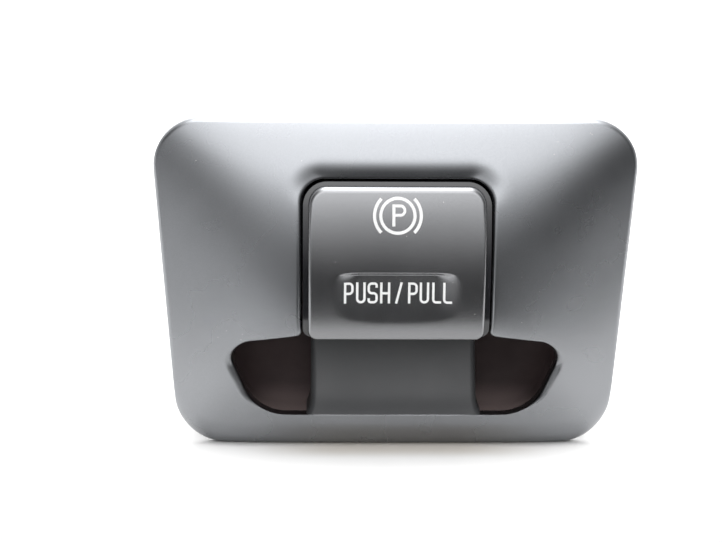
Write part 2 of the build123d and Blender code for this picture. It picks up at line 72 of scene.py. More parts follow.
def place_camera():
    back = Vector((math.sin(AZ) * math.cos(EL), -math.cos(AZ) * math.cos(EL), math.sin(EL)))
    x = Vector((0, 0, 1)).cross(back).normalized()
    y = back.cross(x)
    r0 = Matrix((x, y, back)).transposed()
    roll = Matrix.Rotation(ROLL, 3, "Z")
    d = Vector(((AIM[0] - W_PX / 2) / F_PX, -(AIM[1] - H_PX / 2) / F_PX, -1.0)).normalized()
    turn = d.rotation_difference(Vector((0, 0, -1))).to_matrix()
    rot = r0 @ roll @ turn
    cam = bpy.data.cameras.new("camera")
    cam.sensor_width = 36.0
    cam.lens = F_PX * 36.0 / W_PX
    cam.clip_start, cam.clip_end = 0.01, 20.0
    cam.dof.use_dof = False
    ob = bpy.data.objects.new("camera", cam)
    ob.matrix_world = Matrix.Translation(TARGET + back * DIST) @ rot.to_4x4()
    bpy.context.collection.objects.link(ob)
    scene.camera = ob


place_camera()

# ------------------------------------------------ the model's own outlines
PLATE_TOP, PLATE_BOT = 30.45, -32.25
R_TOP, R_BOT = 9.0, 9.3
FACE_R, FACE_Y, FACE_Z = 55.0, -12.4, 3.0
SYMBOL_Z = 14.2


def half_width(z):
    return 44.85 + 0.0745 * (z - 21)


def crown(x, z):
    ds, dt = half_width(z) - np.abs(x), PLATE_TOP - z
    hs = 2.7 + 0.46 * ds - 0.0038 * ds * ds
    ht = 3.0 + 0.85 * dt - 0.010 * dt * dt
    v = z - 3.0
    hc = 11.4 - np.where(v > -13.0, v * v / 104.0, 1.625 + 0.25 * (-13.0 - v))
    k = 2.0
    return -k * np.log(np.exp(-hs / k) + np.exp(-ht / k) + np.exp(-hc / k))


def fillet_loop(points, step=0.25):
    """Closed polygon (x, z, r) with rounded corners. Returns the points, and the
    index of each corner's middle."""
    n = len(points)
    out, marks = [], []
    for i in range(n):
        p = np.array(points[i][:2], float)
        r = points[i][2]
        a = np.array(points[i - 1][:2], float) - p
        b = np.array(points[(i + 1) % n][:2], float) - p
        a /= np.linalg.norm(a)
        b /= np.linalg.norm(b)
        ang = math.acos(np.clip(a @ b, -1, 1))
        if r < 1e-6:
            marks.append(len(out))
            out.append(p)
            continue
        t = r / math.tan(ang / 2)
        c = p + (a + b) / np.linalg.norm(a + b) * r / math.sin(ang / 2)
        s, e = p + a * t - c, p + b * t - c
        turn = math.atan2(s[0] * e[1] - s[1] * e[0], s @ e)
        k = max(6, int(abs(turn) * r / step) + 1)
        a0 = math.atan2(s[1], s[0])
        marks.append(len(out) + k // 2)
        for j in range(k + 1):
            q = a0 + turn * j / k
            out.append(c + r * np.array((math.cos(q), math.sin(q))))
    return np.array(out), marks


def resample(loop, a, b, n):
    """n points (the first included, the last not) along a closed loop from index
    a to index b, evenly by length."""
    m = len(loop)
    idx = [a]
    while idx[-1] % m != b % m:
        idx.append(idx[-1] + 1)
    pts = np.array([loop[i % m] for i in idx])
    seg = np.r_[0, np.cumsum(np.linalg.norm(np.diff(pts, axis=0), axis=1))]
    want = np.linspace(0, seg[-1], n, endpoint=False)
    return np.c_[np.interp(want, seg, pts[:, 0]), np.interp(want, seg, pts[:, 1])]


def loop_distance(p, loop):
    """Distance of each point to a closed polyline."""
    a, b = loop, np.roll(loop, -1, axis=0)
    out = np.empty(len(p))
    ab = b - a
    l2 = (ab ** 2).sum(1) + 1e-18
    for s in range(0, len(p), 2000):
        q = p[s:s + 2000]
        t = (((q[:, None, :] - a) * ab).sum(2) / l2).clip(0, 1)
        near = a + ab * t[..., None]
        out[s:s + 2000] = np.sqrt(((q[:, None, :] - near) ** 2).sum(2)).min(1)
    return out


def mesh_object(name, verts, faces, smooth=True):
    me = bpy.data.meshes.new(name)
    me.from_pydata([tuple(float(c) * MM for c in v) for v in verts], [], faces)
    me.validate()
    me.update()
    for p in me.polygons:
        p.use_smooth = smooth
    ob = bpy.data.objects.new(name, me)
    bpy.context.collection.objects.link(ob)
    return ob


def outward(ob):
    bm = bmesh.new()
    bm.from_mesh(ob.data)
    bmesh.ops.recalc_face_normals(bm, faces=bm.faces)
    bm.to_mesh(ob.data)
    bm.free()


def ring_faces(rings, n, closed=True):
    faces = []
    for r in range(rings - 1):
        for i in range(n if closed else n - 1):
            j = (i + 1) % n
            faces.append((r * n + i, r * n + j, (r + 1) * n + j, (r + 1) * n + i))
    return faces


# ------------------------------------------------------------- materials
def nodes_of(name):
    m = bpy.data.materials.new(name)
    m.use_nodes = True
    t = m.node_tree
    t.nodes.clear()
    out = t.nodes.new("ShaderNodeOutputMaterial")
    b = t.nodes.new("ShaderNodeBsdfPrincipled")
    t.links.new(b.outputs[0], out.inputs[0])
    return m, t, b


def ramp(t, source, stops):
    r = t.nodes.new("ShaderNodeValToRGB")
    e = r.color_ramp.elements
    while len(e) > 1:
        e.remove(e[0])
    e[0].position, e[0].color = stops[0][0], stops[0][1]
    for p, c in stops[1:]:
        n = e.new(p)
        n.color = c
    t.links.new(source, r.inputs[0])
    return r.outputs[0]


def grey(v):
    return (v, v, v, 1)


def noise(t, scale, detail=4.0, rough=0.55, coords="Object", stretch=None):
    tc = t.nodes.new("ShaderNodeTexCoord")
    n = t.nodes.new("ShaderNodeTexNoise")
    n.inputs["Scale"].default_value = scale
    n.inputs["Detail"].default_value = detail
    n.inputs["Roughness"].default_value = rough
    src = tc.outputs[coords]
    if stretch:
        mp = t.nodes.new("ShaderNodeMapping")
        mp.inputs["Scale"].default_value = stretch
        t.links.new(src, mp.inputs[0])
        src = mp.outputs[0]
    t.links.new(src, n.inputs["Vector"])
    return n.outputs[0]


def math_node(t, op, a, b=None, c=None):
    n = t.nodes.new("ShaderNodeMath")
    n.operation = op
    for i, v in enumerate((a, b, c)):
        if v is None:
            continue
        if isinstance(v, (int, float)):
            n.inputs[i].default_value = v
        else:
            t.links.new(v, n.inputs[i])
    return n.outputs[0]


def bump(t, b, height, strength, distance):
    n = t.nodes.new("ShaderNodeBump")
    n.inputs["Strength"].default_value = strength
    n.inputs["Distance"].default_value = distance
    t.links.new(height, n.inputs["Height"])
    t.links.new(n.outputs[0], b.inputs["Normal"])


def smooth_range(t, v, lo, hi, a=0.0, b=1.0, kind="SMOOTHSTEP"):
    n = t.nodes.new("ShaderNodeMapRange")
    n.interpolation_type = kind
    n.inputs["From Min"].default_value = lo
    n.inputs["From Max"].default_value = hi
    n.inputs["To Min"].default_value = a
    n.inputs["To Max"].default_value = b
    t.links.new(v, n.inputs["Value"])
    return n.outputs[0]


def mix_color(t, fac, a, b):
    n = t.nodes.new("ShaderNodeMix")
    n.data_type = "RGBA"
    for sock, v in ((n.inputs[0], fac), (n.inputs[6], a), (n.inputs[7], b)):
        if isinstance(v, (int, float)):
            sock.default_value = v
        elif isinstance(v, tuple):
            sock.default_value = v
        else:
            t.links.new(v, sock)
    return n.outputs[2]


def specks(t, scale, size):
    """Sparse tiny dots, such as dust."""
    tc = t.nodes.new("ShaderNodeTexCoord")
    v = t.nodes.new("ShaderNodeTexVoronoi")
    v.inputs["Scale"].default_value = scale
    v.inputs["Randomness"].default_value = 1.0
    t.links.new(tc.outputs["Object"], v.inputs["Vector"])
    dot = math_node(t, "LESS_THAN", v.outputs["Distance"], size)
    pick = noise(t, scale * 0.37, 2.0)
    gate = math_node(t, "GREATER_THAN", pick, 0.62)
    return math_node(t, "MULTIPLY", dot, gate)


def satin_paint(name, base=(0.232, 0.238, 0.248), rough=0.27):
    """Charcoal metallic lacquer with a satin clear finish and a little dust."""
    m, t, b = nodes_of(name)
    cloud = noise(t, 60.0, 3.0)
    flake = noise(t, 9000.0, 1.0)
    col = ramp(t, cloud, [(0.3, tuple(c * 0.97 for c in base) + (1,)),
                          (0.7, tuple(c * 1.03 for c in base) + (1,))])
    glint = ramp(t, flake, [(0.30, grey(0.93)), (0.70, grey(1.07))])
    col = mix_color(t, 1.0, col, glint)
    col.node.blend_type = "MULTIPLY"
    dust = specks(t, 700.0, 0.055)
    t.links.new(mix_color(t, math_node(t, "MULTIPLY", dust, 0.7), col, (0.60, 0.58, 0.55, 1)),
                b.inputs["Base Color"])
    t.links.new(math_node(t, "SUBTRACT", 1.0, math_node(t, "MULTIPLY", dust, 0.7)),
                b.inputs["Metallic"])
    fine = noise(t, 5200.0, 2.0)
    rv = ramp(t, cloud, [(0.25, grey(rough - 0.02)), (0.75, grey(rough + 0.03))])
    t.links.new(rv, b.inputs["Roughness"])
    bump(t, b, fine, 0.08, 0.00003)
    return m


def moulded(name, base, rough=0.45, grain=2600.0, strength=0.25, spec=0.5, var=0.2):
    m, t, b = nodes_of(name)
    cloud = noise(t, 90.0, 4.0)
    lo = tuple(c * (1 - var) for c in base) + (1,)
    hi = tuple(min(1, c * (1 + var)) for c in base) + (1,)
    t.links.new(ramp(t, cloud, [(0.3, lo), (0.7, hi)]), b.inputs["Base Color"])
    t.links.new(ramp(t, cloud, [(0.2, grey(max(0.02, rough - 0.05))),
                                (0.8, grey(min(1, rough + 0.06)))]), b.inputs["Roughness"])
    b.inputs["Specular IOR Level"].default_value = spec
    bump(t, b, noise(t, grain, 3.0), strength, 0.00008)
    return m


def metal(name, base, rough=0.3, stretch=(1, 1, 1), grain=900.0):
    m, t, b = nodes_of(name)
    b.inputs["Metallic"].default_value = 1.0
    n = noise(t, grain, 3.0, stretch=stretch)
    lo = tuple(c * 0.82 for c in base) + (1,)
    hi = tuple(min(1, c * 1.12) for c in base) + (1,)
    t.links.new(ramp(t, n, [(0.3, lo), (0.7, hi)]), b.inputs["Base Color"])
    t.links.new(ramp(t, n, [(0.25, grey(rough - 0.08)), (0.75, grey(rough + 0.12))]),
                b.inputs["Roughness"])
    bump(t, b, n, 0.12, 0.00003)
    return m


PAINT = satin_paint("satin_paint")
PAINT_KNOB = satin_paint("satin_paint_knob", (0.232, 0.234, 0.240), 0.25)
PAINT_RAMP = moulded("ramp_plastic", (0.041, 0.042, 0.044), 0.42, 3000.0, 0.18, 0.45, 0.06)
GLOSS = moulded("gloss_black", (0.016, 0.016, 0.018), 0.10, 900.0, 0.02, 0.7)
BLACK = moulded("black_plastic", (0.026, 0.026, 0.027), 0.5, 3200.0, 0.35, 0.4)
CUP = moulded("cup_plastic", (0.052, 0.038, 0.038), 0.55, 3200.0, 0.25, 0.08)


def painted_tray_floor_light(m):
    """Painted light: the tray's base colour is mixed towards a paler tone near the lip, standing in
    for the light its floor catches there.
    """
    t = m.node_tree
    b = next(n for n in t.nodes if n.type == "BSDF_PRINCIPLED")
    src = b.inputs["Base Color"].links[0].from_socket
    tc = t.nodes.new("ShaderNodeTexCoord")
    sp = t.nodes.new("ShaderNodeSeparateXYZ")
    t.links.new(tc.outputs["Object"], sp.inputs[0])
    f = smooth_range(t, sp.outputs[2], -0.0275, -0.0220, 1.0, 0.0)
    t.links.new(mix_color(t, f, src, (0.19, 0.148, 0.142, 1)), b.inputs["Base Color"])


# painted highlight: the cup material is made paler towards the lip, where its floor catches light
painted_tray_floor_light(CUP)
WHITE = moulded("inlay_white", (0.82, 0.82, 0.81), 0.40, 2500.0, 0.03, 0.4, 0.03)
NATURAL = moulded("natural_plastic", (0.72, 0.69, 0.60), 0.38, 1500.0, 0.08, 0.5, 0.06)
BOX_WHITE = moulded("light_box_white", (0.85, 0.85, 0.82), 0.5, 1800.0, 0.1, 0.4, 0.05)
GREY_BUSH = moulded("bush_plastic", (0.016, 0.016, 0.018), 0.4, 1500.0, 0.1)
SW_BLACK = moulded("switch_black", (0.035, 0.035, 0.04), 0.38, 2600.0, 0.2)
RED = moulded("stem_red", (0.45, 0.03, 0.02), 0.3, 1500.0, 0.05)
CHIP = moulded("chip_black", (0.025, 0.025, 0.026), 0.55, 5200.0, 0.3)
TAN = moulded("chip_tan", (0.33, 0.24, 0.15), 0.45, 3000.0, 0.15)
HEADER = moulded("header_natural", (0.66, 0.62, 0.52), 0.42, 1800.0, 0.1, 0.5, 0.06)
LED = moulded("led_white", (0.85, 0.80, 0.50), 0.3, 1500.0, 0.05, 0.5, 0.06)
STEEL = metal("blackened_steel", (0.030, 0.030, 0.032), 0.34, (1, 30, 30))
ZINC = metal("screw_steel", (0.48, 0.48, 0.50), 0.34)
SPRING = metal("spring_steel", (0.40, 0.40, 0.41), 0.30, (1, 1, 6))
CONTACT = metal("contact_metal", (0.72, 0.62, 0.38), 0.25)


def rubber_like(name, base, cell, strength):
    m, t, b = nodes_of(name)
    tc = t.nodes.new("ShaderNodeTexCoord")
    v = t.nodes.new("ShaderNodeTexVoronoi")
    v.inputs["Scale"].default_value = cell
    t.links.new(tc.outputs["Object"], v.inputs["Vector"])
    lo = tuple(c * 0.6 for c in base) + (1,)
    hi = tuple(c * 1.4 for c in base) + (1,)
    t.links.new(ramp(t, v.outputs["Distance"], [(0.1, lo), (0.7, hi)]), b.inputs["Base Color"])
    b.inputs["Roughness"].default_value = 0.85
    bump(t, b, v.outputs["Distance"], strength, 0.0002)
    return m


FOAM = rubber_like("foam", (0.035, 0.035, 0.036), 2600.0, 0.6)
RUBBER = rubber_like("soft_rubber", (0.03, 0.03, 0.03), 5200.0, 0.15)


def board_material():
    m, t, b = nodes_of("board_green")
    tc = t.nodes.new("ShaderNodeTexCoord")
    br = t.nodes.new("ShaderNodeTexBrick")
    mp = t.nodes.new("ShaderNodeMapping")
    mp.inputs["Rotation"].default_value = (math.pi / 2, 0, 0)
    t.links.new(tc.outputs["Object"], mp.inputs[0])
    t.links.new(mp.outputs[0], br.inputs["Vector"])
    br.inputs["Scale"].default_value = 260.0
    br.inputs["Mortar Size"].default_value = 0.03
    br.inputs["Color1"].default_value = (0.012, 0.085, 0.035, 1)
    br.inputs["Color2"].default_value = (0.016, 0.10, 0.042, 1)
    br.inputs["Mortar"].default_value = (0.03, 0.17, 0.07, 1)
    t.links.new(br.outputs[0], b.inputs["Base Color"])
    b.inputs["Roughness"].default_value = 0.32
    bump(t, b, noise(t, 1500.0), 0.1, 0.00005)
    return m


def clear_material():
    m, t, b = nodes_of("clear_plastic")
    b.inputs["Transmission Weight"].default_value = 0.9
    b.inputs["IOR"].default_value = 1.49
    n = noise(t, 300.0)
    t.links.new(ramp(t, n, [(0.3, (0.86, 0.93, 0.95, 1)), (0.7, (0.93, 0.97, 0.98, 1))]),
                b.inputs["Base Color"])
    t.links.new(ramp(t, n, [(0.3, grey(0.04)), (0.7, grey(0.10))]), b.inputs["Roughness"])
    return m


BOARD, CLEAR = board_material(), clear_material()

NODE_LOOKS = {
    "finger_cup": CUP, "mounting_frame": BLACK, "switch_housing": BLACK,
    "rear_cover": BLACK, "rocker_carrier": NATURAL, "plunger_guide": BLACK,
    "light_shield": BOX_WHITE, "foam_gasket": FOAM, "travel_bumpers": RUBBER,
    "pivot_pins": STEEL, "pivot_bushes": GREY_BUSH, "carrier_screws": ZINC,
    "bezel_screws": ZINC, "cover_screws": ZINC, "board_screws": ZINC,
    "retaining_clips": SPRING, "pull_springs": SPRING, "push_springs": SPRING,
    "pull_plungers": NATURAL, "push_plungers": NATURAL, "pull_switches": SW_BLACK,
    "push_switches": SW_BLACK, "pull_stems": RED, "push_stems": RED,
    "circuit_board": BOARD, "leds": LED, "light_guide": CLEAR,
    "controller_chip": CHIP, "chip_parts": TAN, "connector_header": HEADER,
    "connector_pins": CONTACT, "knob_body": GLOSS, "trim_bezel": PAINT,
    "knob_cap": PAINT_KNOB, "centre_ramp": PAINT_RAMP, "symbol_lens": WHITE,
    "legend_inlay": WHITE,
}
BEVELS = {"knob_body": 0.45, "mounting_frame": 0.2, "switch_housing": 0.3,
          "rear_cover": 0.3, "rocker_carrier": 0.2, "plunger_guide": 0.2,
          "finger_cup": 0.25, "circuit_board": 0.08, "pull_switches": 0.12,
          "push_switches": 0.12, "controller_chip": 0.08, "chip_parts": 0.08,
          "leds": 0.12, "connector_header": 0.15, "travel_bumpers": 0.3,
          "foam_gasket": 0.15, "retaining_clips": 0.06, "bezel_screws": 0.08,
          "cover_screws": 0.08, "board_screws": 0.06, "carrier_screws": 0.08,
          "pull_plungers": 0.12, "push_plungers": 0.12, "connector_pins": 0.05}


def node_object(name):
    for o in bpy.data.objects:
        if o.name == name and o.type == "MESH":
            return o
    return None


for node, mat in NODE_LOOKS.items():
    ob = node_object(node)
    if ob is None:
        print("no object for", node)
        continue
    if not ob.data.materials:
        ob.data.materials.append(mat)
    for i in range(len(ob.material_slots)):
        ob.material_slots[i].material = mat
    if node in BEVELS:
        mod = ob.modifiers.new("edge", "BEVEL")
        mod.width = BEVELS[node] * MM
        mod.segments = 2
        mod.limit_method = "ANGLE"
        mod.angle_limit = math.radians(40)
        mod.harden_normals = False

# ---------------------------------------------------------------- bezel
open_pts = [(17.35, 20.0, 4.0), (17.35, -9.0, 1.2), (32.0, -11.25, 3.9), (25.9, -25.4, 8.5)]
open_poly = [(0.0, 20.0, 0)] + open_pts + [(0.0, -25.4, 0)] + [
    (-x, z, r) for x, z, r in reversed(open_pts)]
hw_t, hw_b = half_width(PLATE_TOP), half_width(PLATE_BOT)
out_poly = [(0.0, PLATE_TOP, 0), (hw_t, PLATE_TOP, R_TOP), (half_width(0.5), 0.5, 0),
            (half_width(-15.0), -15.0, 0), (hw_b, PLATE_BOT, R_BOT), (0.0, PLATE_BOT, 0),
            (-hw_b, PLATE_BOT, R_BOT), (-half_width(-15.0), -15.0, 0),
            (-half_width(0.5), 0.5, 0), (-hw_t, PLATE_TOP, R_TOP)]
open_loop, om = fillet_loop(open_poly, 0.08)
out_loop, um = fillet_loop(out_poly, 0.15)
COUNTS = [64, 110, 70, 60, 90, 90, 60, 70, 110, 64]
inner_ring = np.vstack([resample(open_loop, om[i], om[(i + 1) % 10], COUNTS[i])
                        for i in range(10)])
outer_ring = np.vstack([resample(out_loop, um[i], um[(i + 1) % 10], COUNTS[i])
                        for i in range(10)])
NB = len(inner_ring)


def smooth_closed(a, times):
    for _ in range(times):
        a = (np.roll(a, 1, axis=0) + 2 * a + np.roll(a, -1, axis=0)) / 4
    return a


def rim_radius(p):
    """Roll of the opening's edge: small on the window, crisp on the pocket's
    upper edge and at the lip below, broad on the pocket's outer sides."""
    x, z = np.abs(p[:, 0]), p[:, 1]
    r = np.full(len(p), 0.95)
    r[(z < -8.3) & (z > -12.6) & (x > 17.4) & (x < 30.4)] = 0.35
    t = np.roll(p, -1, axis=0) - np.roll(p, 1, axis=0)
    t /= np.linalg.norm(t, axis=1)[:, None]
    lateral = np.abs(t[:, 1])
    low = (z < -12.6) & (x > 15.5)
    r[low] = 0.03 + 1.6 * soft_step(0.55, 0.92, lateral[low])
    r[(z < -12.6) & (x <= 15.5)] = 0.03
    return smooth_closed(r[:, None], 70)[:, 0]


def soft_step(lo, hi, v):
    t = np.clip((v - lo) / (hi - lo), 0, 1)
    return t * t * (3 - 2 * t)


def build_bezel():
    ts = 1 - np.cos(np.linspace(0, math.pi, 61))
    ts = ts / 2
    r_in = rim_radius(inner_ring)
    foot = soft_step(-20.0, -31.0, outer_ring[:, 1])
    r_out, w_out = 0.7 + 2.2 * foot, 0.7 + 4.6 * foot
    # above the window the edge rolls in wide and flat before it turns down
    brow = soft_step(14.4, 19.4, inner_ring[:, 1]) * soft_step(17.4, 14.8, np.abs(inner_ring[:, 0]))
    brow = smooth_closed(brow[:, None], 120)[:, 0]
    r_in = r_in * (1 - brow) + 0.45 * brow
    verts, rings = [], 0
    span = outer_ring - inner_ring
    for t in ts:
        p = inner_ring + span * t
        d_in = loop_distance(p, open_loop)
        d_out = loop_distance(p, out_loop)
        h = crown(p[:, 0], p[:, 1])
        a = np.clip(1 - d_in / r_in, 0, 1)
        h = h - r_in * (1 - np.sqrt(1 - a * a))
        w = np.clip((4.9 - d_in) / 3.7, 0, 1)
        h = h - brow * 0.43 * (3.7 * (w ** 3 - w ** 4 / 2) + np.maximum(1.2 - d_in, 0))
        b = np.clip(1 - d_out / w_out, 0, 1)
        h = h - r_out * (1 - np.sqrt(1 - b * b))
        verts += [(x, -y, z) for (x, z), y in zip(p, h)]
        rings += 1
    # side wall back to the rim, the inner face, and the collar's wall
    h_edge = crown(outer_ring[:, 0], outer_ring[:, 1]) - r_out
    for f in (0.66, 0.33, 0.04):
        verts += [(x, -y * f, z) for (x, z), y in zip(outer_ring, h_edge)]
        rings += 1
    centre = np.array((0.0, -1.0))
    inward = centre - outer_ring
    nrm = np.roll(outer_ring, -1, axis=0) - np.roll(outer_ring, 1, axis=0)
    nrm = np.c_[nrm[:, 1], -nrm[:, 0]]
    nrm /= np.linalg.norm(nrm, axis=1)[:, None]
    nrm *= np.where((nrm * inward).sum(1) > 0, 1, -1)[:, None]
    for off, y in ((0.12, 0.0), (2.1, 0.0), (2.2, -0.1)):
        q = outer_ring + nrm * off
        verts += [(x, y, z) for x, z in q]
        rings += 1
    # inner face
    nin = np.roll(inner_ring, -1, axis=0) - np.roll(inner_ring, 1, axis=0)
    nin = np.c_[nin[:, 1], -nin[:, 0]]
    nin /= np.linalg.norm(nin, axis=1)[:, None]
    out_dir = span / np.linalg.norm(span, axis=1)[:, None]
    nin *= np.where((nin * out_dir).sum(1) > 0, 1, -1)[:, None]
    q0, q1 = outer_ring + nrm * 2.2, inner_ring + nin * 1.4
    for t in np.linspace(0, 1, 24):
        p = q0 + (q1 - q0) * t
        h = np.maximum(crown(p[:, 0], p[:, 1]) - 2.2, 0.4)
        verts += [(x, -y, z) for (x, z), y in zip(p, h)]
        rings += 1
    for y in (-3.15, -3.0):
        verts += [(x, y, z) for x, z in q1]
        rings += 1
    q = inner_ring
    verts += [(x, -3.0, z) for x, z in q]
    rings += 1
    h_in = crown(inner_ring[:, 0], inner_ring[:, 1]) - r_in - 1.312 * brow
    for f in (0.05, 0.4, 0.8):
        verts += [(x, -3.0 - (y - 3.0) * f, z) for (x, z), y in zip(q, h_in)]
        rings += 1
    faces = ring_faces(rings, NB)
    last = (rings - 1) * NB
    for i in range(NB):
        j = (i + 1) % NB
        faces.append((last + i, last + j, j, i))
    ob = mesh_object("bezel_shell", verts, faces)
    outward(ob)
    return ob


bezel = build_bezel()
bezel.data.materials.append(PAINT)
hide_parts("trim_bezel")
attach(bezel, "housing")


# ------------------------------------------------------- ramp and finger cup
CUP_BACK = 7.5
RAMP_LINE = [(-5.86, -25.36), (-3.45, -22.8), (-1.3, -19.0), (0.5, -14.0),
             (1.5, -9.0), (1.9, -1.6)]


def smooth_line(points, n):
    """Natural cubic through (y, z) points, n samples evenly in length."""
    p = np.array(points, float)
    t = np.r_[0, np.cumsum(np.linalg.norm(np.diff(p, axis=0), axis=1))]
    m = len(t)
    a, rhs = np.zeros((m, m)), np.zeros((m, 2))
    a[0, 0] = a[-1, -1] = 1.0
    for i in range(1, m - 1):
        h0, h1 = t[i] - t[i - 1], t[i + 1] - t[i]
        a[i, i - 1:i + 2] = h0, 2 * (h0 + h1), h1
        rhs[i] = 6 * ((p[i + 1] - p[i]) / h1 - (p[i] - p[i - 1]) / h0)
    k = np.linalg.solve(a, rhs)
    out = []
    for u in np.linspace(0, t[-1], n):
        i = min(int(np.searchsorted(t, u, "right")) - 1, m - 2)
        h, l, r = t[i + 1] - t[i], t[i + 1] - u, u - t[i]
        out.append(k[i] * l ** 3 / (6 * h) + k[i + 1] * r ** 3 / (6 * h)
                   + (p[i] / h - k[i] * h / 6) * l + (p[i + 1] / h - k[i + 1] * h / 6) * r)
    return np.array(out)


def build_ramp():
    """The tongue's front: rounded side edges, and a small flare at its foot."""
    line = smooth_line(RAMP_LINE, 90)
    re = 1.2
    verts = []
    arcs = np.linspace(0, math.pi / 2, 9)
    for y, z in line:
        flare = np.clip((-22.8 - z) / 2.5, 0, 1)
        hw = 15.7 + 0.8 * flare ** 2.2
        right = [(hw - re + re * math.sin(q), y + re * (1 - math.cos(q))) for q in arcs]
        right += [(hw, y + re + (CUP_BACK - y - re) * f) for f in (0.3, 0.65, 1.0)]
        mid = [(x, y) for x in np.linspace(-(hw - re), hw - re, 25)][1:-1]
        row = [(-x, yy) for x, yy in reversed(right)] + mid + right
        verts += [(x, yy, z) for x, yy in row]
    n = len(row)
    faces = ring_faces(len(line), n, closed=False)
    # a strip under each side closes the ends of the trays
    for side in (1, -1):
        k = len(verts)
        for x in (15.1 * side, 15.64 * side):
            verts += [(x, -3.9, -24.4), (x, CUP_BACK, -24.4), (x, CUP_BACK, -26.4), (x, -3.9, -26.4)]
        faces += [(k, k + 1, k + 2, k + 3), (k + 4, k + 5, k + 6, k + 7),
                  (k, k + 1, k + 5, k + 4), (k + 1, k + 2, k + 6, k + 5),
                  (k + 2, k + 3, k + 7, k + 6), (k + 3, k, k + 4, k + 7)]
    ob = mesh_object("ramp_skin", verts, faces)
    outward(ob)
    return ob


tongue = build_ramp()
tongue.data.materials.append(PAINT_RAMP)
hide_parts("centre_ramp")
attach(tongue, "housing")


def inset(points, o, grow):
    """Convex polygon (x, z, r) with its sides moved inwards by o."""
    n = len(points)
    p = [np.array(q[:2], float) for q in points]
    c = sum(p) / n
    lines = []
    for i in range(n):
        a, b = p[i], p[(i + 1) % n]
        d = (b - a) / np.linalg.norm(b - a)
        m = np.array((-d[1], d[0]))
        if (c - a) @ m < 0:
            m = -m
        lines.append((a + m * o, d))
    out = []
    for i in range(n):
        (a, d), (b, e) = lines[i - 1], lines[i]
        t = np.linalg.solve(np.array((d, -e)).T, b - a)[0]
        q = a + d * t
        out.append((q[0], q[1], points[i][2] + grow))
    return out


def build_cup():
    """Two trays behind the bezel's pockets, their walls running round into the back."""
    base = [(8.0, -0.4, 1.0), (19.6, -0.4, 2.0), (34.4, -8.4, 3.8), (26.7, -26.1, 8.7),
            (8.0, -26.1, 1.0)]
    steps = [(0.0, -3.0), (0.15, -1.0), (0.35, 0.6), (0.5, 1.5)]
    steps += [(0.5 + 6.0 * (1 - math.cos(q)), 1.5 + 6.0 * math.sin(q))
              for q in np.linspace(0, math.pi / 2, 15)[1:]]
    counts = [40, 40, 60, 50, 40]
    m = len(base)
    verts, faces = [], []
    for s in (1, -1):
        start = len(verts)
        for o, y in steps:
            pts = inset(base, o, 0.0 if o < 1 else 0.0)
            loop, marks = fillet_loop([(x, z, max(0.6, r - 0.75 * o)) for x, z, r in pts], 0.1)
            ring = np.vstack([resample(loop, marks[i], marks[(i + 1) % m], counts[i])
                              for i in range(m)])
            verts += [(s * x, y, z) for x, z in ring]
        n = sum(counts)
        faces += [tuple(start + i for i in f) for f in ring_faces(len(steps), n)]
        faces.append(tuple(start + (len(steps) - 1) * n + i for i in range(n)))
        # the rim's edge and the outside
        for o, y in ((-1.3, -3.0), (-1.3, 4.0), (-0.4, 7.6), (1.5, 9.0)):
            loop, marks = fillet_loop(inset(base, o, 0.8), 0.1)
            ring = np.vstack([resample(loop, marks[i], marks[(i + 1) % m], counts[i])
                              for i in range(m)])
            verts += [(s * x, y, z) for x, z in ring]
        k = start + len(steps) * n
        faces += [tuple(k + i for i in f) for f in ring_faces(4, n)]
        for i in range(n):
            j = (i + 1) % n
            faces.append((start + i, k + i, k + j, start + j))
        faces.append(tuple(k + 3 * n + i for i in range(n)))
    ob = mesh_object("cup_shell", verts, faces)
    bm = bmesh.new()
    bm.from_mesh(ob.data)
    bmesh.ops.recalc_face_normals(bm, faces=bm.faces)
    for s in (1, -1):
        every = bm.verts[:] + bm.edges[:] + bm.faces[:]
        bmesh.ops.bisect_plane(bm, geom=every, plane_co=(s * 15.6 * MM, 0, 0),
                               plane_no=(s, 0, 0))
    inner = [f for f in bm.faces if abs(f.calc_center_median().x) < 15.6 * MM]
    bmesh.ops.delete(bm, geom=inner, context="FACES")
    bm.to_mesh(ob.data)
    bm.free()
    return ob


tray = build_cup()
tray.data.materials.append(CUP)
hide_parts("finger_cup")
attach(tray, "housing")


# ---------------------------------------------------------------- knob cap
def face_y(z):
    return FACE_Y + FACE_R - np.sqrt(FACE_R ** 2 - (z - FACE_Z) ** 2)


DISH_HW, DISH_TOP, DISH_D = 12.2, 3.9, 0.75


def dish(x, z):
    """Depth of the thumb dish: a soft step along its top, rounded upper corners,
    sides that fade, and a floor that runs out downwards."""
    lower = -5.7 + 1.6 * (np.abs(x) / 11.7) ** 2.4
    f = 1 - np.clip((DISH_TOP - z) / (DISH_TOP - lower), 0, 3) ** 1.6
    f = 0.5 * (f + np.sqrt(f * f + 0.0064))
    rc = 2.6
    up = np.clip((z - (DISH_TOP - rc)) / rc, 0, 1)
    hw = DISH_HW - rc * (1 - np.sqrt(1 - up * up))
    top = soft_step(0.0, 0.75, DISH_TOP - z)
    side = soft_step(0.0, 4.8, hw - np.abs(x))
    return DISH_D * f * top * side


def cap_surface(x, z):
    return face_y(z) + dish(x, z)


